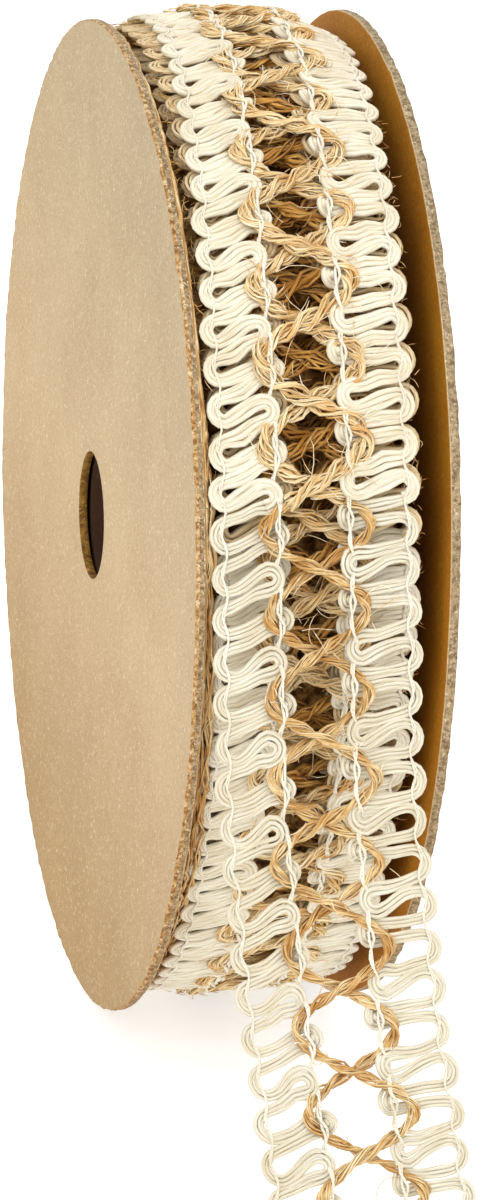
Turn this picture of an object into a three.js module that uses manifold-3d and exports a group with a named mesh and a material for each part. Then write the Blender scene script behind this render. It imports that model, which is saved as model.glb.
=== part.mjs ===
// Roll of jute ribbon: an openwork braid of cotton and jute, wound on a card spool.
// Millimetres, +Z up. The spool stands on its rims with its axis along X,
// and the ribbon's loose end leaves it on the -Y side and runs out on the surface.
import * as THREE from "three";
import { mergeVertices } from "three/addons/utils/BufferGeometryUtils.js";
import Module from "manifold-3d";

const wasm = await Module();
wasm.setup();

// Card spool: two round boards on a tube. Each board leans, by so much along X for 1 mm of Y or Z.
const FLANGE_RADIUS = 63.5;
const BOARD = 1.1;
const HOLE_RADIUS = 8.13;
const INNER_GAP = 30.74;
const FLAT_SPOT_HALF = 4;
const LEFT_LEAN = { perY: -0.0023, perZ: 0.037 };
const RIGHT_LEAN = { perY: 0.0184, perZ: 0.0382 };
const CORE_OUTER_RADIUS = 10.2;
const CORE_END_PLAY = 0.1; // more than the clearance at each end, as the boards lean unlike
const FLANGE_SIDES = 90;
const HOLE_SIDES = 28;

// Ribbon: two cotton bands with scalloped edges, joined by two jute cords that swing across and cross
const HALF_WIDTH = 12.65;
const SCALLOP_DEPTH = 0.95;
const SCALLOP_STEPS = 3;
const BAND_INNER_EDGE = 4.3;
const BAND_THICKNESS = 1.4;
const CROSSING_PITCH = 9.83;
const SCALLOPS_PER_CROSSING = 2;
const FIRST_CROSSING = 1.9; // above the point where the ribbon leaves the roll
const CORD_RADIUS = 0.72;
const CORD_SIDES = 4;
const CORD_SWING = 6.1;
const CORD_STEPS = 3; // for each crossing
const LENGTHS_PER_STEP = 8; // how finely a cord's length is measured, so its steps come out even
const UPPER_CORD = { side: 1, atCrossing: 0.55, atEdge: 0.9 }; // heights over the band's middle
const LOWER_CORD = { side: -1, atCrossing: -0.35, atEdge: 0.75 };

// Winding: the outer turn, whose radius falls by one layer all the way round
const OUTER_RADIUS = 64.65; // to the cotton's face, where the ribbon leaves
const LAYER = 3;
const CROSSINGS_PER_TURN = 41;
const OFF_CENTRE = 0.8; // the turns lie a little high on the tube
const RIBBON_OFFSET = -1.25; // the outer turn's middle, from the spool's middle
const TURN_SWAY = 1.15;
const TURN_BULGE = 4.4; // how far the outer turn strays over the top
const INNER_OFFSET = -1; // the innermost turns' middle
const INNER_HALF_WIDTH = 12.2;

// Loose end: straight off the roll at this angle from the vertical, round a bend, then flat
const LEAVING_ANGLE = (25 * Math.PI) / 180;
const BEND_RADIUS = 26;
const LOOSE_LENGTH = 138.1;
const REST_HEIGHT = 0.9; // the band's middle over the surface, where the lower cord touches it
// How the loose end's middle strays from the spool's middle, by its distance from the roll
const DRIFT = [
  { along: 0, across: -1.25 },
  { along: 20, across: -2.0 },
  { along: 38, across: -2.5 },
  { along: 50, across: -2.0 },
  { along: 62, across: -1.3 },
  { along: 75, across: 0 },
  { along: 90, across: 1.0 },
  { along: 110, across: 1.6 },
  { along: 140, across: 2.0 },
];

const CLEARANCE = 0.3; // between pieces that touch

const AXIS_HEIGHT = Math.sqrt(FLANGE_RADIUS ** 2 - FLAT_SPOT_HALF ** 2);
const BAND_MIDDLE = OUTER_RADIUS - BAND_THICKNESS / 2;
const BEND_ANGLE = Math.PI / 2 - LEAVING_ANGLE;
const LEAVING_POINT = radial(LEAVING_ANGLE, BAND_MIDDLE);
const BEND_DROP = BEND_RADIUS * (1 - Math.cos(BEND_ANGLE));
const STRAIGHT_LENGTH =
  (AXIS_HEIGHT + LEAVING_POINT.z - REST_HEIGHT - BEND_DROP) / Math.cos(LEAVING_ANGLE);
const BEND_LENGTH = BEND_RADIUS * BEND_ANGLE;
const TURN_LENGTH = CROSSINGS_PER_TURN * CROSSING_PITCH;

const kraftCard = new THREE.MeshStandardMaterial({ color: 0xc9a67a, roughness: 0.85, metalness: 0 });
const greyCard = new THREE.MeshStandardMaterial({ color: 0x8d8273, roughness: 0.9, metalness: 0 });
const ribbonYarn = new THREE.MeshStandardMaterial({ color: 0xe4dac2, roughness: 0.95, metalness: 0 });

// A point at a distance from the spool's axis, at an angle up from the -Y side.
function radial(angle, distance) {
  return new THREE.Vector3(0, -distance * Math.cos(angle), distance * Math.sin(angle));
}

// A closed geometry as a solid that can be joined or cut.
function toSolid(geometry) {
  const bare = geometry.clone().deleteAttribute("normal").deleteAttribute("uv");
  const merged = mergeVertices(bare, 1e-4);
  const solid = new wasm.Mesh({
    numProp: 3,
    vertProperties: merged.attributes.position.array,
    triVerts: new Uint32Array(merged.index.array),
  });
  return new wasm.Manifold(solid);
}

function toGeometry(solid) {
  const mesh = solid.getMesh();
  const geometry = new THREE.BufferGeometry();
  geometry.setAttribute("position", new THREE.BufferAttribute(mesh.vertProperties, 3));
  geometry.setIndex(new THREE.BufferAttribute(mesh.triVerts, 1));
  geometry.computeVertexNormals();
  return geometry;
}

// Moves each vertex of a geometry to where place puts it.
function reshape(geometry, place) {
  const position = geometry.attributes.position;
  const point = new THREE.Vector3();
  for (let i = 0; i < position.count; i++) {
    point.fromBufferAttribute(position, i);
    const moved = place(point);
    position.setXYZ(i, moved.x, moved.y, moved.z);
  }
  return geometry;
}

function regularOutline(radius, sides) {
  const corner = (_, i) => {
    const angle = (2 * Math.PI * i) / sides;
    return new THREE.Vector2(radius * Math.cos(angle), radius * Math.sin(angle));
  };
  return Array.from({ length: sides }, corner);
}

// A round outline whose lowest part is a short flat, to stand on.
function standingOutline(radius, flatHalf, sides) {
  const flatAngle = Math.asin(flatHalf / radius);
  const corner = (_, i) => {
    const angle = -Math.PI / 2 + flatAngle + (2 * (Math.PI - flatAngle) * i) / sides;
    return new THREE.Vector2(radius * Math.cos(angle), radius * Math.sin(angle));
  };
  return Array.from({ length: sides + 1 }, corner);
}

// An outline drawn in the YZ plane, pushed out along X from start, and leaning.
function slab(outline, hole, start, length, lean) {
  const shape = new THREE.Shape(outline);
  shape.holes.push(new THREE.Path(hole));
  const geometry = new THREE.ExtrudeGeometry(shape, { depth: length, bevelEnabled: false });
  const alongX = new THREE.Matrix4().makeBasis(
    new THREE.Vector3(0, 1, 0),
    new THREE.Vector3(0, 0, 1),
    new THREE.Vector3(1, 0, 0),
  );
  geometry.applyMatrix4(alongX);
  geometry.translate(start, 0, 0);
  return geometry.applyMatrix4(new THREE.Matrix4().makeShear(0, 0, lean.perY, 0, lean.perZ, 0));
}

function flange(start, lean) {
  const rim = standingOutline(FLANGE_RADIUS, FLAT_SPOT_HALF, FLANGE_SIDES);
  return slab(rim, regularOutline(HOLE_RADIUS, HOLE_SIDES), start, BOARD, lean);
}

function coreTube() {
  const halfLength = INNER_GAP / 2 - CLEARANCE - CORE_END_PLAY;
  const lean = {
    perY: (LEFT_LEAN.perY + RIGHT_LEAN.perY) / 2,
    perZ: (LEFT_LEAN.perZ + RIGHT_LEAN.perZ) / 2,
  };
  const outer = regularOutline(CORE_OUTER_RADIUS, HOLE_SIDES);
  return slab(outer, regularOutline(HOLE_RADIUS, HOLE_SIDES), -halfLength, 2 * halfLength, lean);
}

// The radius of the cotton's face after a turn angle, counted from where the ribbon leaves, over the top.
function windingRadius(turn) {
  return OUTER_RADIUS - (LAYER * turn) / (2 * Math.PI) + OFF_CENTRE * Math.sin(turn);
}

// The middle of the outer turn, from the spool's middle: it strays to one side over the top.
function outerOffset(turn) {
  const bulge = turn < Math.PI ? TURN_BULGE * Math.sin(turn) ** 2 : 0;
  return RIBBON_OFFSET + TURN_SWAY * Math.sin(turn) + bulge;
}

// The ribbon is made flat first: x across it, y along it and up the roll, z out from its face.
function scallopedEdge(along) {
  const scallop = CROSSING_PITCH / SCALLOPS_PER_CROSSING;
  const phase = (along - FIRST_CROSSING) / scallop + 0.5;
  return HALF_WIDTH - SCALLOP_DEPTH * (1 - Math.sqrt(Math.abs(Math.sin(Math.PI * phase))));
}

// One cotton band between two distances along the flat ribbon, on the side -1 or 1.
function cottonBand(from, to, side) {
  const stepLength = CROSSING_PITCH / SCALLOPS_PER_CROSSING / SCALLOP_STEPS;
  const steps = Math.round((to - from) / stepLength);
  const strip = new THREE.BoxGeometry(1, to - from, BAND_THICKNESS, 1, steps, 1);
  strip.translate(0.5, (from + to) / 2, 0);
  return reshape(strip, (p) => {
    const edge = scallopedEdge(p.y);
    const width = edge - BAND_INNER_EDGE;
    p.x = side > 0 ? BAND_INNER_EDGE + p.x * width : -edge + p.x * width;
    return p;
  });
}

// One jute cord, swinging from band to band and crossing the middle once in each pitch.
function juteCord(from, to, cord) {
  const steps = Math.round(((to - from) / CROSSING_PITCH) * CORD_STEPS);
  const route = Array.from({ length: steps + 1 }, (_, i) => {
    const along = from + ((to - from) * i) / steps;
    const swing = Math.sin((Math.PI * (along - FIRST_CROSSING)) / CROSSING_PITCH);
    const height = cord.atCrossing + (cord.atEdge - cord.atCrossing) * swing ** 2;
    return new THREE.Vector3(cord.side * CORD_SWING * swing, along, height);
  });
  const path = new THREE.CatmullRomCurve3(route);
  path.arcLengthDivisions = steps * LENGTHS_PER_STEP;
  const section = new THREE.Shape(regularOutline(CORD_RADIUS, CORD_SIDES));
  return new THREE.ExtrudeGeometry(section, { steps, extrudePath: path });
}

// Both cords between two distances along the flat ribbon, cut off square.
function cordPair(from, to) {
  const margin = CROSSING_PITCH / 4;
  const trim = new THREE.BoxGeometry(4 * HALF_WIDTH, to - from, 10 * BAND_THICKNESS);
  trim.translate(0, (from + to) / 2, 0);
  return toSolid(juteCord(from - margin, to + margin, UPPER_CORD))
    .add(toSolid(juteCord(from - margin, to + margin, LOWER_CORD)))
    .intersect(toSolid(trim));
}

// Puts a point of the flat ribbon on the outer turn of the roll.
function onRoll(p) {
  const turn = (2 * Math.PI * p.y) / TURN_LENGTH;
  const placed = radial(LEAVING_ANGLE + turn, windingRadius(turn) - BAND_THICKNESS / 2 + p.z);
  return placed.setX(p.x + outerOffset(turn));
}

// The way a distance along the loose end lies: its point in the YZ plane, and the angle of its face.
function looseWay(along) {
  const bent = THREE.MathUtils.clamp(along - STRAIGHT_LENGTH, 0, BEND_LENGTH) / BEND_RADIUS;
  const straight = Math.min(along, STRAIGHT_LENGTH);
  const flat = Math.max(along - STRAIGHT_LENGTH - BEND_LENGTH, 0);
  const face = LEAVING_ANGLE + bent;
  const point = LEAVING_POINT.clone()
    .add(radial(LEAVING_ANGLE + Math.PI / 2, -straight))
    .add(radial(LEAVING_ANGLE, BEND_RADIUS))
    .sub(radial(face, BEND_RADIUS));
  point.y -= flat;
  return { point, face };
}

const driftCurve = new THREE.CatmullRomCurve3(
  DRIFT.map((row) => new THREE.Vector3(row.across, row.along, 0)),
);

// The drift at a distance, read between the rows of the table by the curve through them.
function drift(along) {
  const last = DRIFT.length - 1;
  const above = DRIFT.findIndex((row) => row.along > along);
  const row = above < 0 ? last - 1 : Math.max(above - 1, 0);
  const part = (along - DRIFT[row].along) / (DRIFT[row + 1].along - DRIFT[row].along);
  return driftCurve.getPoint(THREE.MathUtils.clamp((row + part) / last, 0, 1)).x;
}

function onLooseEnd(p) {
  const way = looseWay(-p.y);
  const placed = way.point.add(radial(way.face, p.z));
  return placed.setX(p.x + drift(-p.y));
}

// The wound cotton: a thick ring whose outside is a spiral with one step, under the loose end.
// A channel between the bands is one layer deep, and the scallops run down its sides.
function woundBands() {
  const inner = CORE_OUTER_RADIUS + CLEARANCE;
  const channel = OUTER_RADIUS - LAYER;
  const corners = [
    [inner, -INNER_HALF_WIDTH],
    [OUTER_RADIUS, -HALF_WIDTH],
    [OUTER_RADIUS, -BAND_INNER_EDGE],
    [channel, -BAND_INNER_EDGE],
    [channel, BAND_INNER_EDGE],
    [OUTER_RADIUS, BAND_INNER_EDGE],
    [OUTER_RADIUS, HALF_WIDTH],
    [inner, INNER_HALF_WIDTH],
    [inner, -INNER_HALF_WIDTH],
  ];
  const profile = corners.map(([radius, across]) => new THREE.Vector2(radius, across));
  const steps = CROSSINGS_PER_TURN * SCALLOPS_PER_CROSSING * SCALLOP_STEPS;
  const ring = new THREE.LatheGeometry(profile, steps, Math.PI - LEAVING_ANGLE + Math.PI / steps);
  return reshape(ring, (p) => {
    const angle = Math.atan2(p.x, -p.z);
    const turn = THREE.MathUtils.euclideanModulo(angle - LEAVING_ANGLE, 2 * Math.PI);
    const distance = Math.hypot(p.x, p.z);
    if (distance < channel / 2) return radial(angle, inner).setX(p.y + INNER_OFFSET);
    const placed = radial(angle, windingRadius(turn) - OUTER_RADIUS + distance);
    const atEdge = Math.abs(p.y) > 2 * BAND_INNER_EDGE;
    const along = (turn * TURN_LENGTH) / (2 * Math.PI);
    return placed.setX(outerOffset(turn) + (atEdge ? Math.sign(p.y) * scallopedEdge(along) : p.y));
  });
}

function ribbonRoll() {
  const cords = reshape(toGeometry(cordPair(CLEARANCE / 2, TURN_LENGTH - CLEARANCE)), onRoll);
  return toGeometry(toSolid(woundBands()).add(toSolid(cords)));
}

function ribbonTail() {
  const ribbon = toSolid(cottonBand(-LOOSE_LENGTH, -CLEARANCE / 2, -1))
    .add(toSolid(cottonBand(-LOOSE_LENGTH, -CLEARANCE / 2, 1)))
    .add(cordPair(-LOOSE_LENGTH, -CLEARANCE / 2));
  return reshape(toGeometry(ribbon), onLooseEnd);
}

const spool = new THREE.Group();
spool.name = "roll of jute ribbon";

function addPiece(name, geometry, material) {
  const piece = new THREE.Mesh(geometry, material);
  piece.name = name;
  spool.add(piece);
}

addPiece("flange_left", flange(-INNER_GAP / 2 - BOARD, LEFT_LEAN), kraftCard);
addPiece("flange_right", flange(INNER_GAP / 2, RIGHT_LEAN), kraftCard);
addPiece("core_tube", coreTube(), greyCard);
addPiece("ribbon_roll", ribbonRoll(), ribbonYarn);
addPiece("ribbon_tail", ribbonTail(), ribbonYarn);

// The origin lies on the surface, under the middle of the whole part.
const box = new THREE.Box3().setFromObject(spool);
const middle = box.getCenter(new THREE.Vector3());
spool.position.set(-middle.x, -middle.y, -box.min.z);

export default spool;
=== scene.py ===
import random
from math import atan2, ceil, cos, exp, floor, hypot, pi, radians, sin, sqrt, tau

import bmesh
import bpy
import numpy
from mathutils import Matrix, Vector, noise


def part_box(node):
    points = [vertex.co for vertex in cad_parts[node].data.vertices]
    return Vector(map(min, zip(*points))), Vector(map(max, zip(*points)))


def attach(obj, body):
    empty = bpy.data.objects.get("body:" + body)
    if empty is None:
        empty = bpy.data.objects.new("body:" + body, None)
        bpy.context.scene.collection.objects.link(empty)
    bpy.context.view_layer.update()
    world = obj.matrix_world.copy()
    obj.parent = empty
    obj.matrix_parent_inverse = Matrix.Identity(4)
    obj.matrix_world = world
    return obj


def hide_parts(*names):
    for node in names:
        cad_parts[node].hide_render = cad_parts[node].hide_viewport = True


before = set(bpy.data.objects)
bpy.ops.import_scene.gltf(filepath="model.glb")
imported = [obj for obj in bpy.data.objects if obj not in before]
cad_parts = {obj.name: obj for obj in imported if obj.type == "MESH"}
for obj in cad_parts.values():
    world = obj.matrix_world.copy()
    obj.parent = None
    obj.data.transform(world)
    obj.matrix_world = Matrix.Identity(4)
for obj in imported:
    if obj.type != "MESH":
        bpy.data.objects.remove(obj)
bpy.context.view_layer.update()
scene = bpy.context.scene
mm = 0.001

# The spool's middle, from its boards and its tube
boardLow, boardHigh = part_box("flange_left")
tubeLow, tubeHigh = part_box("core_tube")
spoolMiddle = Vector(((tubeLow.x + tubeHigh.x) / 2, (boardLow.y + boardHigh.y) / 2, 0)) / mm
boardRadius = 63.5
spoolMiddle.z = boardHigh.z / mm - boardRadius

board = {
    "thickness": 1.1,
    "hole": 8.13,
    "gap": 30.74,
    "liner": 0.14,
    "round": 0.12,
    "rimShares": (0, 0.04, 0.12, 0.22, 0.4, 0.58, 0.68, 0.78, 0.88, 0.95, 1),  # through its thickness
    "steps": 400,
    "lean": {-1: (-0.0023, 0.037), 1: (0.0184, 0.0382)},  # across for each mm of Y, of Z
    "torn": {-1: 0.34, 1: 0.0},  # of the rim, beside the outer face
    "innerEdge": {-1: 0.3, 1: 0.0},  # where the inner liner's brown edge ends
    "bumps": {-1: [], 1: [(radians(80), 0.3, 1.3)]},  # place round the rim, height, half width
}
tube = {"inner": 8.13, "outer": 10.2, "play": 0.4, "steps": 96}


# Camera, floor and light

photo = {
    "width": 490,
    "height": 1200,
    "spoolAt": (216.5, 507.7),  # where the spool's middle lies in the picture
    "focalPixels": 5155,
    "distance": 666.8,  # mm, from the spool's middle
    "turn": -0.2012,  # radians, round to the left board
    "elevation": radians(25),
    "roll": 0.0586,
}


def addCamera():
    data = bpy.data.cameras.new("camera")
    data.sensor_width = 36
    data.lens = photo["focalPixels"] / photo["height"] * data.sensor_width
    data.shift_x = (photo["width"] / 2 - photo["spoolAt"][0]) / photo["height"]
    data.shift_y = (photo["spoolAt"][1] - photo["height"] / 2) / photo["height"]
    data.clip_start = 0.01
    turn, rise = photo["turn"], photo["elevation"]
    toCamera = Vector((sin(turn), -cos(turn) * cos(rise), cos(turn) * sin(rise)))
    right = Vector((cos(turn), sin(turn) * cos(rise), -sin(turn) * sin(rise)))
    up = toCamera.cross(right)
    lean = Matrix.Rotation(photo["roll"], 3, -toCamera)
    right, up = lean @ right, lean @ up
    camera = bpy.data.objects.new("camera", data)
    place = Matrix((right, up, toCamera)).transposed().to_4x4()
    place.translation = (spoolMiddle + toCamera * photo["distance"]) * mm
    camera.matrix_world = place
    scene.collection.objects.link(camera)
    scene.camera = camera


addCamera()
print("camera set")


def colour(red, green, blue):
    return tuple((value / 255) ** 2.2 for value in (red, green, blue)) + (1.0,)


def addFloor():
    mesh = bpy.data.meshes.new("floor")
    shape = bmesh.new()
    bmesh.ops.create_grid(shape, x_segments=1, y_segments=1, size=15)
    shape.to_mesh(mesh)
    shape.free()
    floorPiece = bpy.data.objects.new("floor", mesh)
    scene.collection.objects.link(floorPiece)
    material = bpy.data.materials.new("paleFloor")
    material.use_nodes = True
    shader = material.node_tree.nodes["Principled BSDF"]
    shader.inputs["Base Color"].default_value = (0.6, 0.6, 0.595, 1)
    shader.inputs["Roughness"].default_value = 0.9
    shader.inputs["Emission Color"].default_value = (1, 0.995, 0.98, 1)  # a lit sheet, so shadows stay faint
    shader.inputs["Emission Strength"].default_value = 0.62
    mesh.materials.append(material)


lightPlaces = [  # place round the spool in metres, size, watts
    {"name": "keyLight", "at": (-0.75, -1.0, 1.25), "size": 1.0, "power": 14},
    {"name": "fillLight", "at": (1.1, -1.1, 0.7), "size": 1.4, "power": 8},
    {"name": "topLight", "at": (0.1, 0.3, 1.6), "size": 1.5, "power": 9},
    {"name": "backLight", "at": (0.3, 1.7, 0.6), "size": 1.4, "power": 6},
]


def addLights():
    for row in lightPlaces:
        data = bpy.data.lights.new(row["name"], "AREA")
        data.size = row["size"]
        data.energy = row["power"]
        light = bpy.data.objects.new(row["name"], data)
        light.location = Vector(row["at"])
        aim = spoolMiddle * mm - light.location
        light.rotation_euler = aim.to_track_quat("-Z", "Y").to_euler()
        scene.collection.objects.link(light)
    world = bpy.data.worlds.new("softRoom")
    world.use_nodes = True
    world.node_tree.nodes["Background"].inputs["Color"].default_value = (1, 0.975, 0.93, 1)
    world.node_tree.nodes["Background"].inputs["Strength"].default_value = 0.68
    scene.world = world
    scene.view_settings.view_transform = "Standard"


addFloor()
addLights()
print("floor and lights set")


# Shared effects, as node groups

def newGroup(name, inputs, outputs):
    group = bpy.data.node_groups.new(name, "ShaderNodeTree")
    for socket, kind, value in inputs:
        made = group.interface.new_socket(socket, in_out="INPUT", socket_type=kind)
        if value is not None:
            made.default_value = value
    for socket, kind in outputs:
        group.interface.new_socket(socket, in_out="OUTPUT", socket_type=kind)
    return group, group.nodes.new("NodeGroupInput"), group.nodes.new("NodeGroupOutput")


def addNode(tree, kind, values=None, **settings):
    node = tree.nodes.new(kind)
    for name, value in settings.items():
        setattr(node, name, value)
    for socket, value in (values or {}).items():
        node.inputs[socket].default_value = value
    return node


def addRamp(tree, stops):
    ramp = tree.nodes.new("ShaderNodeValToRGB")
    for index, (position, value) in enumerate(stops):
        if index > 1:
            ramp.color_ramp.elements.new(position)
        ramp.color_ramp.elements[index].position = position
        ramp.color_ramp.elements[index].color = value
    return ramp


def buildTwistGroup():
    # Ply lines that wind round a yarn, and fine fibres that follow them. The UV map is in mm along, turns around.
    inputs = [
        ("Place", "NodeSocketVector", None),
        ("Plies per mm", "NodeSocketFloat", 0.5),
        ("Fibre Count", "NodeSocketFloat", 12.0),
        ("Fibre Length", "NodeSocketFloat", 0.6),
    ]
    outputs = [("Ply", "NodeSocketFloat"), ("Fibre", "NodeSocketFloat")]
    group, source, result = newGroup("yarnTwist", inputs, outputs)
    split = addNode(group, "ShaderNodeSeparateXYZ")
    wound = addNode(group, "ShaderNodeMath", operation="MULTIPLY_ADD")
    angle = addNode(group, "ShaderNodeMath", {1: tau}, operation="MULTIPLY")
    wave = addNode(group, "ShaderNodeMath", operation="SINE")
    height = addNode(group, "ShaderNodeMath", operation="ABSOLUTE")
    around = addNode(group, "ShaderNodeMath", operation="MULTIPLY")
    along = addNode(group, "ShaderNodeMath", operation="MULTIPLY")
    joined = addNode(group, "ShaderNodeCombineXYZ")
    fibres = addNode(group, "ShaderNodeTexNoise", {"Scale": 1.0, "Detail": 3.0, "Roughness": 0.6})
    links = group.links
    links.new(source.outputs["Place"], split.inputs[0])
    links.new(split.outputs["X"], wound.inputs[0])
    links.new(source.outputs["Plies per mm"], wound.inputs[1])
    links.new(split.outputs["Y"], wound.inputs[2])
    links.new(wound.outputs[0], angle.inputs[0])
    links.new(angle.outputs[0], wave.inputs[0])
    links.new(wave.outputs[0], height.inputs[0])
    links.new(wound.outputs[0], around.inputs[0])
    links.new(source.outputs["Fibre Count"], around.inputs[1])
    links.new(split.outputs["X"], along.inputs[0])
    links.new(source.outputs["Fibre Length"], along.inputs[1])
    links.new(along.outputs[0], joined.inputs["X"])
    links.new(around.outputs[0], joined.inputs["Y"])
    links.new(joined.outputs[0], fibres.inputs["Vector"])
    links.new(height.outputs[0], result.inputs["Ply"])
    links.new(fibres.outputs["Fac"], result.inputs["Fibre"])
    return group


def buildMottleGroup():
    # Slow changes of tone over a whole piece
    inputs = [("Place", "NodeSocketVector", None), ("Scale", "NodeSocketFloat", 80.0)]
    group, source, result = newGroup("slowMottle", inputs, [("Tone", "NodeSocketFloat")])
    cloud = addNode(group, "ShaderNodeTexNoise", {"Detail": 4.0, "Roughness": 0.6})
    group.links.new(source.outputs["Place"], cloud.inputs["Vector"])
    group.links.new(source.outputs["Scale"], cloud.inputs["Scale"])
    group.links.new(cloud.outputs["Fac"], result.inputs["Tone"])
    return group


def buildPaperGroup():
    # Recycled card: fine pulp grain, with sparse dark and pale flecks
    inputs = [("Place", "NodeSocketVector", None)]
    outputs = [("Grain", "NodeSocketFloat"), ("Dark Fleck", "NodeSocketFloat"), ("Pale Fleck", "NodeSocketFloat")]
    group, source, result = newGroup("cardPulp", inputs, outputs)
    grain = addNode(group, "ShaderNodeTexNoise", {"Scale": 2600.0, "Detail": 4.0, "Roughness": 0.7})
    group.links.new(source.outputs["Place"], grain.inputs["Vector"])
    group.links.new(grain.outputs["Fac"], result.inputs["Grain"])
    for scale, output, edge in ((1500.0, "Dark Fleck", 0.66), (1900.0, "Pale Fleck", 0.64)):
        spots = addNode(group, "ShaderNodeTexNoise", {"Scale": scale, "Detail": 2.0, "Distortion": 1.5})
        cut = addNode(group, "ShaderNodeMapRange", {"From Min": edge - 0.06, "From Max": edge + 0.04})
        group.links.new(source.outputs["Place"], spots.inputs["Vector"])
        group.links.new(spots.outputs["Fac"], cut.inputs["Value"])
        group.links.new(cut.outputs["Result"], result.inputs[output])
    return group


twistGroup = buildTwistGroup()
mottleGroup = buildMottleGroup()
paperGroup = buildPaperGroup()


# Materials

def startMaterial(name, **sockets):
    material = bpy.data.materials.new(name)
    material.use_nodes = True
    tree = material.node_tree
    shader = tree.nodes["Principled BSDF"]
    for socket, value in sockets.items():
        shader.inputs[socket.replace("_", " ")].default_value = value
    return material, tree, shader


def placeGroup(tree, group, values=None):
    node = tree.nodes.new("ShaderNodeGroup")
    node.node_tree = group
    for socket, value in (values or {}).items():
        node.inputs[socket].default_value = value
    return node


def mixColours(tree, blend="MIX"):
    return addNode(tree, "ShaderNodeMix", data_type="RGBA", blend_type=blend)


def makeYarnMaterial(name, look):
    material, tree, shader = startMaterial(name, Roughness=look["roughness"], Sheen_Weight=look["sheen"])
    shader.inputs["Specular IOR Level"].default_value = 0.2
    coords = tree.nodes.new("ShaderNodeTexCoord")
    twist = placeGroup(tree, twistGroup, look["twist"])
    mottle = placeGroup(tree, mottleGroup, {"Scale": look["mottleScale"]})
    fibreRamp = addRamp(tree, look["fibreColours"])
    mottleRamp = addRamp(tree, look["mottleColours"])
    # Painted shade: the base colour darkens along the ply grooves
    grooveShade = addRamp(tree, [(0.0, look["grooveShadeColour"]), (0.45, (1, 1, 1, 1))])
    tinted = mixColours(tree, "MULTIPLY")
    grooveShaded = mixColours(tree, "MULTIPLY")
    tinted.inputs["Factor"].default_value = 1.0
    grooveShaded.inputs["Factor"].default_value = 1.0
    relief = addNode(tree, "ShaderNodeMath", {1: look["fibreShare"]}, operation="MULTIPLY_ADD")
    bump = addNode(tree, "ShaderNodeBump", {"Distance": look["reliefMm"] * mm, "Strength": 1.0})
    links = tree.links
    links.new(coords.outputs["UV"], twist.inputs["Place"])
    links.new(coords.outputs["Object"], mottle.inputs["Place"])
    links.new(twist.outputs["Fibre"], fibreRamp.inputs["Fac"])
    links.new(mottle.outputs["Tone"], mottleRamp.inputs["Fac"])
    links.new(twist.outputs["Ply"], grooveShade.inputs["Fac"])
    links.new(fibreRamp.outputs["Color"], tinted.inputs["A"])
    links.new(mottleRamp.outputs["Color"], tinted.inputs["B"])
    links.new(tinted.outputs["Result"], grooveShaded.inputs["A"])
    links.new(grooveShade.outputs["Color"], grooveShaded.inputs["B"])
    links.new(grooveShaded.outputs["Result"], shader.inputs["Base Color"])
    links.new(twist.outputs["Fibre"], relief.inputs[0])
    links.new(twist.outputs["Ply"], relief.inputs[2])
    links.new(relief.outputs[0], bump.inputs["Height"])
    links.new(bump.outputs["Normal"], shader.inputs["Normal"])
    return material


cottonLook = {
    "roughness": 0.85,
    "sheen": 0.15,
    "twist": {"Plies per mm": 0.09, "Fibre Count": 9.0, "Fibre Length": 0.35},
    "fibreColours": [(0.3, colour(214, 206, 184)), (0.6, colour(235, 230, 214))],
    "mottleScale": 140.0,
    "mottleColours": [(0.3, colour(243, 238, 228)), (0.65, colour(255, 255, 255))],
    "grooveShadeColour": colour(238, 230, 212),
    "fibreShare": 0.6,
    "reliefMm": 0.04,
}
threadLook = dict(
    cottonLook,
    twist={"Plies per mm": 0.9, "Fibre Count": 6.0, "Fibre Length": 0.8},
    fibreColours=[(0.3, colour(228, 221, 204)), (0.6, colour(244, 240, 228))],
    grooveShadeColour=colour(226, 218, 200),
)
dustyShadedLook = dict(  # the turns below carry jute fibre, and are painted warm tan for the shade and bounce light deep in the roll
    cottonLook,
    fibreColours=[(0.3, colour(210, 180, 130)), (0.6, colour(240, 222, 184))],
)
# Painted shade: the same cotton, a little darker on the loose end
looseCottonShadedLook = dict(cottonLook, fibreColours=[(0.3, colour(204, 197, 176)), (0.6, colour(227, 222, 206))])
juteLook = {
    "roughness": 0.72,
    "sheen": 0.1,
    "twist": {"Plies per mm": 0.08, "Fibre Count": 4.0, "Fibre Length": 0.22},
    "fibreColours": [
        (0.3, colour(172, 126, 66)),
        (0.42, colour(226, 194, 138)),
        (0.54, colour(243, 222, 178)),
        (0.66, colour(254, 245, 222)),
    ],
    "mottleScale": 300.0,
    "mottleColours": [(0.32, colour(236, 206, 158)), (0.52, colour(255, 254, 250))],
    "grooveShadeColour": colour(230, 206, 162),
    "fibreShare": 1.6,
    "reliefMm": 0.1,
}


def makeHairMaterial(name, colours):
    material, tree, shader = startMaterial(name, Roughness=0.6)
    coords = tree.nodes.new("ShaderNodeTexCoord")
    mottle = placeGroup(tree, mottleGroup, {"Scale": 420.0})
    ramp = addRamp(tree, [(0.35, colours[0]), (0.5, colours[1]), (0.65, colours[2])])
    tree.links.new(coords.outputs["Object"], mottle.inputs["Place"])
    tree.links.new(mottle.outputs["Tone"], ramp.inputs["Fac"])
    tree.links.new(ramp.outputs["Color"], shader.inputs["Base Color"])
    return material


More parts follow.
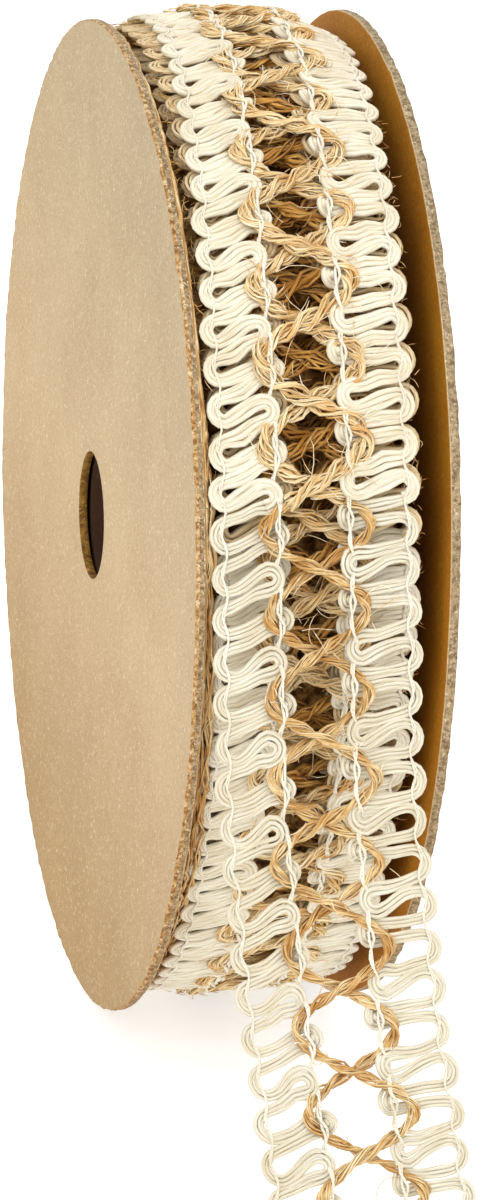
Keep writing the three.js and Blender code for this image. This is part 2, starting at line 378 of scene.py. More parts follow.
def makeCardMaterial(name, look):
    material, tree, shader = startMaterial(name, Roughness=look["roughness"])
    shader.inputs["Specular IOR Level"].default_value = look["specular"]
    coords = tree.nodes.new("ShaderNodeTexCoord")
    pulp = placeGroup(tree, paperGroup)
    mottle = placeGroup(tree, mottleGroup, {"Scale": look["mottleScale"]})
    base = addRamp(tree, look["mottleColours"])
    grainRamp = addRamp(tree, look["grainColours"])
    grained = mixColours(tree, "MULTIPLY")
    grained.inputs["Factor"].default_value = 1.0
    # Painted light: a ramp up the board's height makes it warmer and darker low down and cooler at the top, as the
    # light falls
    height = addNode(tree, "ShaderNodeSeparateXYZ")
    upBoard = addNode(tree, "ShaderNodeMapRange", {"From Min": 0.0, "From Max": 2 * boardRadius * mm})
    paintedLightRamp = addRamp(tree, look["paintedLightUpBoardColours"])
    paintedLightMix = mixColours(tree, "MULTIPLY")
    paintedLightMix.inputs["Factor"].default_value = 1.0
    dark = mixColours(tree)
    dark.inputs["B"].default_value = look["darkFleck"]
    pale = mixColours(tree)
    pale.inputs["B"].default_value = look["paleFleck"]
    darkAmount = addNode(tree, "ShaderNodeMath", {1: look["darkShare"]}, operation="MULTIPLY")
    paleAmount = addNode(tree, "ShaderNodeMath", {1: look["paleShare"]}, operation="MULTIPLY")
    bump = addNode(tree, "ShaderNodeBump", {"Distance": 0.03 * mm, "Strength": look["bump"]})
    links = tree.links
    links.new(coords.outputs["Object"], pulp.inputs["Place"])
    links.new(coords.outputs["Object"], mottle.inputs["Place"])
    links.new(mottle.outputs["Tone"], base.inputs["Fac"])
    links.new(pulp.outputs["Grain"], grainRamp.inputs["Fac"])
    links.new(base.outputs["Color"], grained.inputs["A"])
    links.new(grainRamp.outputs["Color"], grained.inputs["B"])
    links.new(coords.outputs["Object"], height.inputs[0])
    links.new(height.outputs["Z"], upBoard.inputs["Value"])
    links.new(upBoard.outputs["Result"], paintedLightRamp.inputs["Fac"])
    links.new(grained.outputs["Result"], paintedLightMix.inputs["A"])
    links.new(paintedLightRamp.outputs["Color"], paintedLightMix.inputs["B"])
    links.new(pulp.outputs["Dark Fleck"], darkAmount.inputs[0])
    links.new(pulp.outputs["Pale Fleck"], paleAmount.inputs[0])
    links.new(darkAmount.outputs[0], dark.inputs["Factor"])
    links.new(paintedLightMix.outputs["Result"], dark.inputs["A"])
    links.new(paleAmount.outputs[0], pale.inputs["Factor"])
    links.new(dark.outputs["Result"], pale.inputs["A"])
    links.new(pale.outputs["Result"], shader.inputs["Base Color"])
    links.new(pulp.outputs["Grain"], bump.inputs["Height"])
    links.new(bump.outputs["Normal"], shader.inputs["Normal"])
    return material


outerLinerLook = {
    "roughness": 0.75,
    "specular": 0.25,
    "mottleScale": 55.0,
    "mottleColours": [(0.35, colour(194, 168, 131)), (0.65, colour(202, 177, 139))],
    "grainColours": [(0.35, colour(234, 230, 224)), (0.65, colour(255, 255, 255))],
    # painted light up the board: warmer and darker at the bottom, cooler at the top
    "paintedLightUpBoardColours": [(0.1, (0.79, 0.7, 0.55, 1)), (0.5, (1, 1, 1, 1)), (0.96, (0.85, 0.89, 0.93, 1))],  # up the board
    "darkFleck": colour(160, 124, 82),
    "paleFleck": colour(240, 222, 190),
    "darkShare": 0.5,
    "paleShare": 0.5,
    "bump": 0.5,
}
# The same kraft on the inner faces, painted a more saturated orange for the warm bounce light and shade between the
# boards and the roll
innerLinerBounceLook = dict(
    outerLinerLook,
    mottleColours=[(0.3, colour(180, 112, 14)), (0.7, colour(198, 132, 24))],
    darkFleck=colour(120, 72, 20),
    paleFleck=colour(214, 164, 86),
)
# Painted shade: the card tube is painted near-black brown for the shade inside it and through the hole
shadedTubeLook = dict(
    innerLinerBounceLook, mottleColours=[(0.3, colour(50, 30, 14)), (0.7, colour(68, 44, 22))], darkShare=0.2, paleShare=0.0,
)
# Painted shade: the board's cut edge round the hole is painted darker gold-brown for the shade and warm bounce inside
# the hole
shadedCutHoleLook = dict(
    innerLinerBounceLook, mottleScale=700.0, mottleColours=[(0.38, colour(96, 64, 20)), (0.62, colour(150, 112, 48))],
)
boardCoreLook = dict(
    outerLinerLook,
    mottleScale=1700.0,
    mottleColours=[(0.38, colour(122, 100, 70)), (0.62, colour(180, 158, 124))],
    darkFleck=colour(92, 66, 40),
    darkShare=0.8,
    bump=1.0,
)
tornEdgeLook = dict(
    boardCoreLook,
    mottleScale=1500.0,
    mottleColours=[(0.38, colour(140, 94, 42)), (0.5, colour(190, 142, 82)), (0.64, colour(230, 202, 158))],
)
deepShadeFeltLook = dict(  # the deeper turns: jute fluff, painted golden brown and dark for the shade and warm bounce deep in the roll
    boardCoreLook,
    mottleScale=800.0,
    mottleColours=[(0.38, colour(88, 54, 16)), (0.5, colour(152, 106, 46)), (0.64, colour(214, 172, 104))],
    paintedLightUpBoardColours=[(0.0, (1, 1, 1, 1)), (1.0, (1, 1, 1, 1))],
    paleShare=0.2,
)

cotton = makeYarnMaterial("cottonYarn", cottonLook)
looseCottonShaded = makeYarnMaterial("looseCottonShaded", looseCottonShadedLook)
dustyShadedCotton = makeYarnMaterial("dustyShadedCotton", dustyShadedLook)
thread = makeYarnMaterial("chainThread", threadLook)
jute = makeYarnMaterial("juteCord", juteLook)
tanJute = makeYarnMaterial(
    "tanJute", dict(juteLook, mottleColours=[(0.38, colour(218, 184, 134)), (0.62, colour(255, 250, 238))]),
)
# Painted shade: the jute of the turns below, darker and more golden for the shade and warm bounce deep in the roll
shadedGoldenJute = makeYarnMaterial(
    "deepJuteWarmShade", dict(juteLook, mottleColours=[(0.35, colour(188, 140, 66)), (0.62, colour(246, 212, 146))]),
)
juteHair = makeHairMaterial("juteHair", [colour(196, 148, 84), colour(236, 208, 160), colour(254, 246, 224)])
# Painted shade: the jute hairs of the turns below and beside the edges, darker than juteHair for the shade deep in the
# roll
shadedGoldenHair = makeHairMaterial("deepHairPaintedShade", [colour(158, 108, 44), colour(206, 160, 90), colour(240, 208, 150)])
outerLiner = makeCardMaterial("kraftOutside", outerLinerLook)
innerLinerBounce = makeCardMaterial("kraftInsideWarmBounce", innerLinerBounceLook)
boardCore = makeCardMaterial("boardCore", boardCoreLook)
tornEdge = makeCardMaterial("tornEdge", tornEdgeLook)
shadedCutHole = makeCardMaterial("shadedCutHole", shadedCutHoleLook)
deepShadeFelt = makeCardMaterial("deepFluffPaintedShade", deepShadeFeltLook)
shadedTubeLining = makeCardMaterial("shadedTubeLining", shadedTubeLook)
print("materials made")


# How the flat ribbon lies: across, along (up the roll, or minus along the loose end) and out from its face, in mm

ribbon = {
    "halfWidth": 12.65,
    "length": 138.1,  # of the loose end
    "pitch": 9.83,  # from crossing to crossing
    "firstCrossing": 1.9,
    "halfTurn": 20.5,  # crossings over the top of the outer turn
    "laps": (41.45, 39.5, 37.4, 35.3),  # crossings in each turn, the outer one first
    "faceRadius": 64.65,  # of the outer turn, where the loose end leaves
    "middleRadius": 63.95,
    "layer": 3.0,
    "offCentre": 0.8,
    "leaving": radians(25),
    "offset": -1.25,
    "sway": 1.15,
    "snug": 0.6,  # how much closer the turns below lie
    "stray": 4.4,  # how far the outer turn strays over the top
    "underStray": (0.7, 1.1, 1.6, 1.4, 1.6, 1.9, 1.9, 1.5, 1.0, 0.4, 0.0),  # and the turns below, over the top
    "droop": {"at": radians(80), "over": 0.68, "sink": 0.6, "from": 1.0, "depth": 3.3},  # over the top, to the right
    "fluff": 1.1,  # how far the bands below puff up
    "closing": 0.35,  # radians in which a turn comes back over the one below
    "bendRadius": 26.0,
    "restHeight": 0.9,
}
drift = [  # how far the loose end's middle strays: distance from the roll, place across
    (0, -1.25), (20, -2.0), (38, -2.5), (50, -2.0), (62, -1.3), (75, 0), (90, 1.0), (110, 1.6), (140, 2.0),
]
scallop = ribbon["pitch"] / 2
lapEnds = [sum(ribbon["laps"][:k]) for k in range(len(ribbon["laps"]) + 1)]
turnKnots = [(0, 0), (ribbon["halfTurn"], pi)] + [(lapEnds[k], k * tau) for k in range(1, len(lapEnds))]


def outward(angle, distance):
    return Vector((0, -distance * cos(angle), distance * sin(angle)))


def glide(values, position):
    # A smooth curve through evenly spaced values
    index = min(max(int(position), 0), len(values) - 2)
    part = position - index
    before, here, there, beyond = (values[min(max(index + k, 0), len(values) - 1)] for k in (-1, 0, 1, 2))
    return here + 0.5 * part * (
        there - before
        + part * (2 * before - 5 * here + 4 * there - beyond + part * (3 * (here - there) + beyond - before))
    )


def turnAt(along):
    # The angle wound, from knots of (crossings, angle)
    crossings = along / ribbon["pitch"]
    row = max(k for k in range(len(turnKnots) - 1) if turnKnots[k][0] <= crossings)
    (start, low), (end, high) = turnKnots[row], turnKnots[row + 1]
    return low + (high - low) * (crossings - start) / (end - start)


def windingRadius(turn):
    snug = ribbon["snug"] * min(max(turn / tau - 1, 0) * 12, 1)
    return ribbon["middleRadius"] - ribbon["layer"] * turn / tau + ribbon["offCentre"] * sin(turn) + snug


def middleOf(turn):
    lap, part = divmod(turn, tau)
    if part > pi:
        stray = ribbon["underStray"][0] * exp(-((tau - part) / ribbon["closing"]) ** 2)
    elif lap < 1:
        stray = ribbon["stray"] * sin(turn) ** 2
    else:
        stray = glide(ribbon["underStray"], part / pi * (len(ribbon["underStray"]) - 1))
    return ribbon["offset"] + ribbon["sway"] * sin(turn) + stray


def droopAt(across, turn):
    droop = ribbon["droop"]
    share = max(across - droop["from"], 0) / (ribbon["halfWidth"] - droop["from"])
    low = droop["sink"] + droop["depth"] * share ** 1.5
    return low * exp(-((turn % tau - droop["at"]) / droop["over"]) ** 2)


def onRoll(across, along, height):
    turn = turnAt(along)
    radius = windingRadius(turn) + height - droopAt(across, turn)
    point = spoolMiddle + outward(ribbon["leaving"] + turn, radius)
    point.x += across + middleOf(turn)
    return point * mm


leavingPoint = outward(ribbon["leaving"], ribbon["middleRadius"])
bendAngle = pi / 2 - ribbon["leaving"]
bendDrop = ribbon["bendRadius"] * (1 - cos(bendAngle))
straightLength = (spoolMiddle.z + leavingPoint.z - ribbon["restHeight"] - bendDrop) / cos(ribbon["leaving"])
bendLength = ribbon["bendRadius"] * bendAngle


def driftAt(distance):
    row = max(k for k in range(len(drift) - 1) if drift[k][0] <= max(distance, 0))
    part = (distance - drift[row][0]) / (drift[row + 1][0] - drift[row][0])
    return glide([across for _, across in drift], row + part)


def onLooseEnd(across, along, height, clear=0.0):
    distance = max(-along, 0)
    bent = min(max(distance - straightLength, 0), bendLength) / ribbon["bendRadius"]
    face = ribbon["leaving"] + bent
    point = spoolMiddle + leavingPoint
    point += outward(ribbon["leaving"] + pi / 2, -min(distance, straightLength))
    point += outward(ribbon["leaving"], ribbon["bendRadius"]) - outward(face, ribbon["bendRadius"])
    point += outward(face, height)
    point.y -= max(distance - straightLength - bendLength, 0)
    point.x += across + driftAt(distance)
    point.z = max(point.z, clear)
    return point * mm


def placeOf(across, along, height, clear=0.0):
    if along > 0:
        return onRoll(across, along, height)
    return onLooseEnd(across, along, height, clear)


# Yarns: a curve with a round section for each strand, all made one mesh

class YarnSet:
    def __init__(self, name, thickness, roundness):
        # roundness None is three sides, for what is too thin to look round
        self.name = name
        self.thickness = thickness
        self.curve = bpy.data.curves.new(name, "CURVE")
        self.curve.dimensions = "3D"
        self.curve.use_fill_caps = True
        self.section = None
        self.counts = []
        self.lengths = []
        if roundness is None:
            self.useTriangle()
        else:
            self.curve.bevel_depth = 1.0 * mm
            self.curve.bevel_resolution = roundness

    def useTriangle(self):
        outline = bpy.data.curves.new(self.name + "Section", "CURVE")
        outline.dimensions = "2D"
        corners = outline.splines.new("POLY")
        corners.points.add(2)
        for third, point in enumerate(corners.points):
            point.co = (mm * cos(tau * third / 3), -mm * sin(tau * third / 3), 0, 1)
        corners.use_cyclic_u = True
        self.section = bpy.data.objects.new(outline.name, outline)
        scene.collection.objects.link(self.section)
        self.curve.bevel_mode = "OBJECT"
        self.curve.bevel_object = self.section

    def lay(self, points, thickness=None, widths=None):
        spline = self.curve.splines.new("POLY")
        spline.points.add(len(points) - 1)
        flat = [value for point in points for value in (*point, 1.0)]
        spline.points.foreach_set("co", flat)
        radius = (thickness or self.thickness) / 2
        spline.points.foreach_set("radius", [radius * w for w in widths or [1.0] * len(points)])
        spline.use_smooth = True
        self.counts.append(len(points))
        self.lengths.append(sum((b - a).length for a, b in zip(points, points[1:])) / mm)

    def finish(self, material, body="root", stands=None):
        holder = bpy.data.objects.new(self.name + "Strands", self.curve)
        scene.collection.objects.link(holder)
        bpy.context.view_layer.update()
        seen = bpy.context.evaluated_depsgraph_get()
        mesh = bpy.data.meshes.new_from_object(holder.evaluated_get(seen))
        bpy.data.objects.remove(holder)
        mesh.name = self.name
        mesh.materials.clear()
        mesh.materials.append(material)
        mesh.shade_smooth()
        self.scaleMap(mesh)
        shape = bmesh.new()
        shape.from_mesh(mesh)
        bmesh.ops.remove_doubles(shape, verts=shape.verts, dist=1e-7)  # joins the caps to the tubes
        bmesh.ops.recalc_face_normals(shape, faces=shape.faces)
        shape.to_mesh(mesh)
        shape.free()
        piece = bpy.data.objects.new(self.name, mesh)
        scene.collection.objects.link(piece)
        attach(piece, body)
        if stands:
            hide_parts(stands)
        if self.section:
            bpy.data.objects.remove(self.section)
        print(self.name, len(mesh.polygons), "faces")
        return piece

    def scaleMap(self, mesh):
        # The map runs from 0 to 1 along each strand: it is stretched to mm, and each strand starts elsewhere on it.
        # A mesh from a curve has the end caps first, then the tubes.
        layer = mesh.uv_layers[0]
        corners = numpy.empty(len(mesh.loops), int)
        places = numpy.empty(2 * len(mesh.loops))
        mesh.loops.foreach_get("vertex_index", corners)
        layer.data.foreach_get("uv", places)
        sides = len(mesh.vertices) // (sum(self.counts) + 2 * len(self.counts))
        onTube = numpy.maximum(corners - 2 * sides * len(self.counts), 0)
        strand = numpy.searchsorted(numpy.cumsum(self.counts) * sides, onTube, side="right")
        strand = numpy.minimum(strand, len(self.counts) - 1)
        places = places.reshape(-1, 2)
        places[:, 0] = places[:, 0] * numpy.array(self.lengths)[strand] + 17.3 * strand % 390
        places[:, 1] += 0.37 * strand % 1
        layer.data.foreach_set("uv", places.ravel())


# The cotton bands: a flat bundle of three soft yarns that turns in a scallop at the edge and in a loop at the middle

bands = {
    "yarns": 3,
    "thickness": 0.64,
    "tipSpacing": 0.5,
    "armSpacing": 0.56,
    "tipHalf": 1.5,
    "swell": 0.95,  # for each mm that they lie further apart than at a tip
    # the rest is for a petal at a crossing, then for one at the middle of a ring
    "legs": (  # share of the way in, half the pair of legs, spacing
        ((0.36, 1.22, 0.74), (0.7, 1.28, 0.69)),
        ((0.36, 1.12, 0.71), (0.7, 0.86, 0.56)),
    ),
    "loopSpacing": (0.5, 0.52),
    "loopArmSpacing": (0.64, 0.54),
    "loopHeight": (0.66, 0.6),
    "loopArmHeight": (0.3, -0.15),
    "loopStack": (0.0, 0.1),
    "jitter": 0.16,
}
looseBands = dict(
    bands,
    thickness=0.5,
    tipSpacing=0.44,
    armSpacing=0.46,
    tipHalf=1.63,
    legs=(((0.36, 0.8, 0.48), (0.7, 1.0, 0.54)), ((0.36, 0.78, 0.47), (0.7, 0.78, 0.48))),
)
bandSides = {
    -1: {
        "tipShift": -0.4,
        "loopShift": (-0.95, -0.7),
        "loopEdge": (4.0, 3.0),
        "loopHalf": (1.24, 0.88),
        "loopBelowTip": True,
    },
    1: {
        "tipShift": -0.8,
        "loopShift": (0.3, 1.2),
        "loopEdge": (3.0, 2.4),
        "loopHalf": (1.4, 0.92),
        "loopBelowTip": False,
    },
}


def scallopLevel(index):
    return ribbon["firstCrossing"] + index * scallop


def turnRows(apex, level, half, inward, apexFacts, armFacts):
    # Five places round a turn of the bundle, from its upper arm to its lower: across, along, height, spacing, stack
    rows = []
    for angle in (pi / 2, pi / 4, 0, -pi / 4, -pi / 2):
        reach = half * (1 - cos(angle))
        share = cos(angle) ** 2
        facts = [arm + (tight - arm) * share for tight, arm in zip(apexFacts, armFacts)]
        rows.append((apex - reach if inward else apex + reach, level + half * sin(angle), *facts))
    return rows


def bandTurns(side, index, look):
    # The scallop's tip and the loop beside it, top one first
    facts = bandSides[side]
    chance = random.Random(1000 * side + 7 * index)
    wobble = lambda size: chance.uniform(-size, size)
    ring = index % 2
    outermost = (look["yarns"] - 1) / 2
    tip = turnRows(
        ribbon["halfWidth"] - look["tipSpacing"] * outermost - look["thickness"] / 2 + wobble(0.2),
        scallopLevel(index) + facts["tipShift"] + wobble(look["jitter"]),
        look["tipHalf"] + wobble(0.15), True,
        (0.0, look["tipSpacing"], 0.0), (0.0, look["armSpacing"], 0.0),
    )
    loop = turnRows(
        facts["loopEdge"][ring] + look["loopSpacing"][ring] * outermost + look["thickness"] / 2 + wobble(0.3),
        scallopLevel(index) + facts["loopShift"][ring] + wobble(look["jitter"]),
        facts["loopHalf"][ring] + wobble(0.12), False,
        (look["loopHeight"][ring] + wobble(0.1), look["loopSpacing"][ring], look["loopStack"][ring]),
        (look["loopArmHeight"][ring], look["loopArmSpacing"][ring], 0.0),
    )
    return [tip, loop] if facts["loopBelowTip"] else [loop, tip]


def legRows(start, end, ring, side, look, chance):
    # The leg between two turns keeps close to its neighbour, which goes round the same loop
    goesIn = start[0] > end[0]
    outer, inner = (start, end) if goesIn else (end, start)
    above = 1 if goesIn else -1  # the leg that goes in is the upper one of its pair
    valley = outer[1] - above * (scallop / 2 - look["tipHalf"])
    centre = inner[1] - above * bandSides[side]["loopHalf"][ring]
    rows = []
    for share, half, gap in look["legs"][ring]:
        ease = share * share * (3 - 2 * share)
        across = outer[0] + (inner[0] - outer[0]) * share
        level = valley + (centre - valley) * ease + above * half + chance.uniform(-0.13, 0.13)
        height = outer[2] + (inner[2] - outer[2]) * share ** 3 + 0.12 + chance.uniform(-0.08, 0.08)
        rows.append((across, level, height, gap * (1 + chance.uniform(-0.1, 0.1)), 0.0))
    return rows if goesIn else rows[::-1]


def bundleRoute(side, first, last, look):
    # The middle of the bundle down one band, from scallop first to scallop last
    route = []
    loopFirst = not bandSides[side]["loopBelowTip"]
    for index in range(first, last - 1, -1):
        chance = random.Random(500 * side + 3 * index)
        for place, turn in enumerate(bandTurns(side, index, look)):
            if route:
                # the leg belongs to the petal of the loop at its inner end
                ring = (index + 1) % 2 if place == 0 and not loopFirst else index % 2
                route.extend(legRows(route[-1], turn[0], ring, side, look, chance))
            route.extend(turn)
    return route


def smoothRoute(route, steps):
    columns = list(zip(*route))
    count = (len(route) - 1) * steps
    return [tuple(glide(column, k / steps) for column in columns) for k in range(count + 1)]


def layBundle(yarns, side, first, last, steps, look=bands, clear=0.3, lift=0.0):
    route = smoothRoute(bundleRoute(side, first, last, look), steps)
    middle = (look["yarns"] - 1) / 2
    strands = [[] for _ in range(look["yarns"])]
    widths = [1 + look["swell"] * max(row[3] - look["tipSpacing"], 0) for row in route]
    for index, (across, along, height, gap, stack) in enumerate(route):
        before = route[max(index - 1, 0)]
        after = route[min(index + 1, len(route) - 1)]
        step = Vector((after[0] - before[0], after[1] - before[1]))
        step.normalize()
        for yarn in range(look["yarns"]):
            off = (yarn - middle) * gap
            shake = noise.noise_vector(Vector((along * 0.5, across * 0.35, 9.0 * yarn + 50 * side)))
            x = across - off * step.y + 0.1 * shake.x
            y = along + off * step.x + 0.13 * shake.y
            z = height + lift + stack * (yarn - middle) + 0.14 * shake.z
            strands[yarn].append(placeOf(side * x, y, z, clear))
    for strand in strands:
        yarns.lay(strand, widths=widths)


# The two jute cords, each of two plies, which swing from band to band and cross in the middle

cordShape = {
    "swing": 6.1,
    "plyOffset": 0.46,
    "strandOffset": 0.36,
    "strandThickness": 0.37,
    "strands": 6,  # in each ply
    "twist": 7.5,  # mm for one turn of the plies
    "strandTwist": 11.0,
    "wide": 1.32,
    "looseWide": 0.8,
    "flat": 0.66,
    "kink": 0.09,
    "stepMm": 0.85,
}
cordKinds = {
    "upper": {"side": 1, "atCrossing": 0.62, "atEdge": 0.88},
    "lower": {"side": -1, "atCrossing": -0.45, "atEdge": 0.82},
}


def cordMiddle(kind, along):
    phase = (along - ribbon["firstCrossing"]) / ribbon["pitch"]
    swing = sin(pi * phase)
    ring = floor(phase)
    chance = random.Random(31 * ring + (5 if kind == "upper" else 11))
    fade = sin(pi * (phase - ring))
    reach = cordShape["swing"] + fade * chance.uniform(-0.35, 0.45)
    facts = cordKinds[kind]
    across = facts["side"] * reach * swing
    level = along + fade * chance.uniform(-0.35, 0.35)
    height = facts["atCrossing"] + (facts["atEdge"] - facts["atCrossing"]) * swing ** 2
    return Vector((across, level, height))


def layCord(yarns, kind, start, end, stepMm, strandCount, wide, clear, frayed=0.0):
    count = ceil((end - start) / stepMm * 1.7)
    path = [cordMiddle(kind, start + (end - start) * k / count) for k in range(count + 1)]
    seed = 40.0 * cordKinds[kind]["side"]
    travelled = 0.0
    strands = {(ply, part): [] for ply in (0, 1) for part in range(strandCount)}
    widths = {key: [] for key in strands}
    for index, point in enumerate(path):
        ahead = path[min(index + 1, count)] - path[max(index - 1, 0)]
        sideways = ahead.normalized().cross(Vector((0, 0, 1)))
        if index:
            travelled += (point - path[index - 1]).length
        looseness = 1 + 0.3 * noise.noise(Vector((travelled * 0.16, 3.0, seed))) + frayed * exp((start - point.y) / 1.6)
        slip = 1.1 * noise.noise(Vector((travelled * 0.12, 11.0, seed)))
        for ply, part in strands:
            angle = tau * travelled / cordShape["twist"] + pi * ply + slip
            shake = noise.noise_vector(Vector((travelled * 0.35, 13.0 * ply + 5.0 * part, seed)))
            inner = tau * travelled / cordShape["strandTwist"] + tau * part / strandCount + 1.5 * shake.x
            off = cordShape["plyOffset"] * looseness
            kink = noise.noise_vector(Vector((travelled * 1.1, 7.0 * ply + 3.0 * part, seed))) * cordShape["kink"]
            deep = cordShape["strandOffset"] * (looseness + 0.7 * shake.y)
            aside = (off * cos(angle) + deep * cos(inner)) * wide + kink.x
            rise = (off * sin(angle) + deep * sin(inner)) * cordShape["flat"] + kink.y
            strands[ply, part].append(placeOf(*(point + sideways * aside + Vector((0, 0, rise))), clear))
            widths[ply, part].append(1 + 0.55 * shake.z)
    for key, strand in strands.items():
        yarns.lay(strand, widths=widths[key])


# The chain threads: two thin threads that twist round each other down the bands, over the cords

chains = {
    "thickness": 0.36,
    "twist": 4.9,
    "strands": 2,
    "outerAt": 11.05,
    "innerAt": {-1: (4.75, 4.6), 1: (4.3, 3.9)},  # at a crossing, at the middle of a ring
    "heights": (0.05, 1.0),
    "knotReach": 1.25,  # half the length of the stitch round each ring's loop
    "knotSpread": 0.2,
    "stepMm": 0.75,
}


def chainMiddle(side, inner, along):
    # Its place, and how far its strands lie from its middle
    phase = (along - ribbon["firstCrossing"]) / ribbon["pitch"]
    mid = sin(pi * phase) ** 2
    shake = noise.noise_vector(Vector((along * 0.3, side * 10.0, 4.0)))
    if not inner:
        wave = cos(2 * tau * phase)
        place = Vector((side * (chains["outerAt"] + 0.3 * wave + 0.15 * shake.x), along, 0.3 + 0.1 * shake.z))
        return place, 0.1 + 0.05 * wave
    atCrossing, atRing = chains["innerAt"][side]
    across = atCrossing + (atRing - atCrossing) * mid + 0.22 * sin(2 * tau * phase + 1)
    low, high = chains["heights"]
    height = low + (high - low) * mid
    kind = "upper" if (floor(phase) % 2 == 0) == (side == 1) else "lower"
    overCord = max(cordMiddle(kind, along).z + 0.6 - height, 0)
    height += overCord * sin(tau * phase) ** 2
    fromKnot = (phase - floor(phase) - 0.5) * ribbon["pitch"] - bandSides[side]["loopShift"][1]
    spread = 0.14 + chains["knotSpread"] * exp(-(fromKnot / chains["knotReach"]) ** 2)
    return Vector((side * across + 0.2 * shake.x, along, height)), spread


def layChain(yarns, side, inner, start, end, stepMm, clear):
    count = ceil((end - start) / stepMm)
    for strand in range(chains["strands"] if inner else 2):
        points = []
        widths = []
        for k in range(count + 1):
            along = start + (end - start) * k / count
            middle, spread = chainMiddle(side, inner, along)
            angle = tau * (along / chains["twist"] + strand / chains["strands"])
            middle.x += spread * cos(angle)
            middle.z += spread * sin(angle) * 0.6
            points.append(placeOf(*middle, clear))
            widths.append(1 + 0.8 * (spread - 0.14) if inner else 0.8)
        yarns.lay(points, widths=widths)


# Loose hairs of jute that stand off the cords, lie across the rings and curl at the ribbon's edges

hairs = {
    "thickness": 0.11,
    "edgeThickness": 0.09,
    "steps": 5,
    "edgeSteps": 4,
    "alongShare": 0.5,
    "shortShare": 0.5,
    "length": 3.2,
    "scatter": 0.55,
    "longest": 9.0,
    "looseLongest": 5.0,
    "closest": 0.06,  # between two points of a hair
}


def keepBetweenBoards(point):
    # A hair stops short of the boards' inner faces
    place = point / mm - spoolMiddle
    for side in (-1, 1):
        perY, perZ = board["lean"][side]
        wall = side * (board["gap"] / 2 - 0.15) + perY * place.y + perZ * place.z
        if (place.x - wall) * side > 0 and hypot(place.y, place.z) < boardRadius + 2:
            point.x = (spoolMiddle.x + wall) * mm
    return point


def layHair(yarns, root, heading, curl, length, rise, chance, clear, steps=hairs["steps"]):
    step = length / steps
    spot = root.copy()
    lowest = min(root.z, -0.6)
    points = []
    for _ in range(steps + 1):
        point = keepBetweenBoards(placeOf(*spot, clear))
        if not points or (point - points[-1]).length > hairs["closest"] * mm:
            points.append(point)
        spot += Vector((cos(heading), sin(heading), rise)) * step
        heading += curl * step + chance.gauss(0, 0.12)
        rise -= 0.09 * step
        spot.z = max(spot.z, lowest)
    if len(points) > 1:
        yarns.lay(points, widths=[1.0] * (len(points) - 1) + [0.35])


def layCordHairs(yarns, start, end, perMm, seed, clear, longest=hairs["longest"], sunk=0.0):
    # Those that are sunk lie in the rings, down to that depth
    chance = random.Random(seed)
    for _ in range(int((end - start) * perMm)):
        kind = chance.choice(("upper", "lower"))
        at = chance.uniform(start, end)
        root = cordMiddle(kind, at)
        root.z += chance.uniform(0.3, 0.8) - chance.choice((0, 1)) * chance.uniform(0, sunk)
        length = min(abs(chance.gauss(0, hairs["length"])) + 0.8, longest)
        if chance.random() < hairs["shortShare"]:
            length = chance.uniform(0.9, 2.0)
        heading = chance.uniform(0, tau)
        root.x += chance.gauss(0, hairs["scatter"])
        root.y += chance.gauss(0, hairs["scatter"])
        if chance.random() < hairs["alongShare"]:
            ahead = cordMiddle(kind, at + 0.5) - cordMiddle(kind, at - 0.5)
            heading = atan2(ahead.y, ahead.x) + chance.gauss(0, 0.4)
        layHair(yarns, root, heading, chance.gauss(0, 0.26), length, chance.uniform(-0.04, 0.28), chance, clear)


edgeFuzz = {  # hairs beside the ribbon's edges: how many for each mm, between which places, depths and lengths
    -1: {"perMm": 3.2, "across": (12.2, 14.6), "depth": (-2.6, -0.3), "length": (0.9, 2.4)},
    1: {"perMm": 2.0, "across": (11.7, 12.9), "depth": (-2.6, -0.1), "length": (0.5, 1.6)},
}


edgeStrands = {
    "count": 26,
    "thickness": 0.46,
    "across": (12.6, 14.6),
    "depth": (-3.2, -0.7),
    "wander": 0.9,
    "stepMm": 2.2,
}


def layEdgeStrands(yarns, start, end):
    # Fluff from the cords below, caught between the ribbon's left edge and the board
    chance = random.Random(77)
    for number in range(edgeStrands["count"]):
        across, depth = chance.uniform(*edgeStrands["across"]), chance.uniform(*edgeStrands["depth"])
        points = []
        widths = []
        for k in range(ceil((end - start) / edgeStrands["stepMm"]) + 1):
            along = min(start + edgeStrands["stepMm"] * k, end)
            shake = noise.noise_vector(Vector((along * 0.35, 6.0 * number, 21.0))) * edgeStrands["wander"]
            height = depth + shake.y + ribbon["layer"] * max(5 * along / end - 4, 0)  # meets its own start again
            point = onRoll(-across + shake.x - middleOf(turnAt(along)) * 0.8 - 1.0, along, height)
            points.append(keepBetweenBoards(point))
            widths.append(1 + 0.6 * shake.z)
        yarns.lay(points, widths=widths)


def layEdgeHairs(yarns, start, end, side):
    facts = edgeFuzz[side]
    chance = random.Random(60 + side)
    for _ in range(int((end - start) * facts["perMm"])):
        root = Vector((
            side * chance.uniform(*facts["across"]), chance.uniform(start, end), chance.uniform(*facts["depth"]),
        ))
        heading = chance.uniform(0, tau)
        length = chance.uniform(*facts["length"])
        layHair(yarns, root, heading, chance.gauss(0, 1.1), length, 0, chance, 0, hairs["edgeSteps"])


# The ribbon's turns and its loose end

roll = "ribbon_roll"
tail = "ribbon_tail"


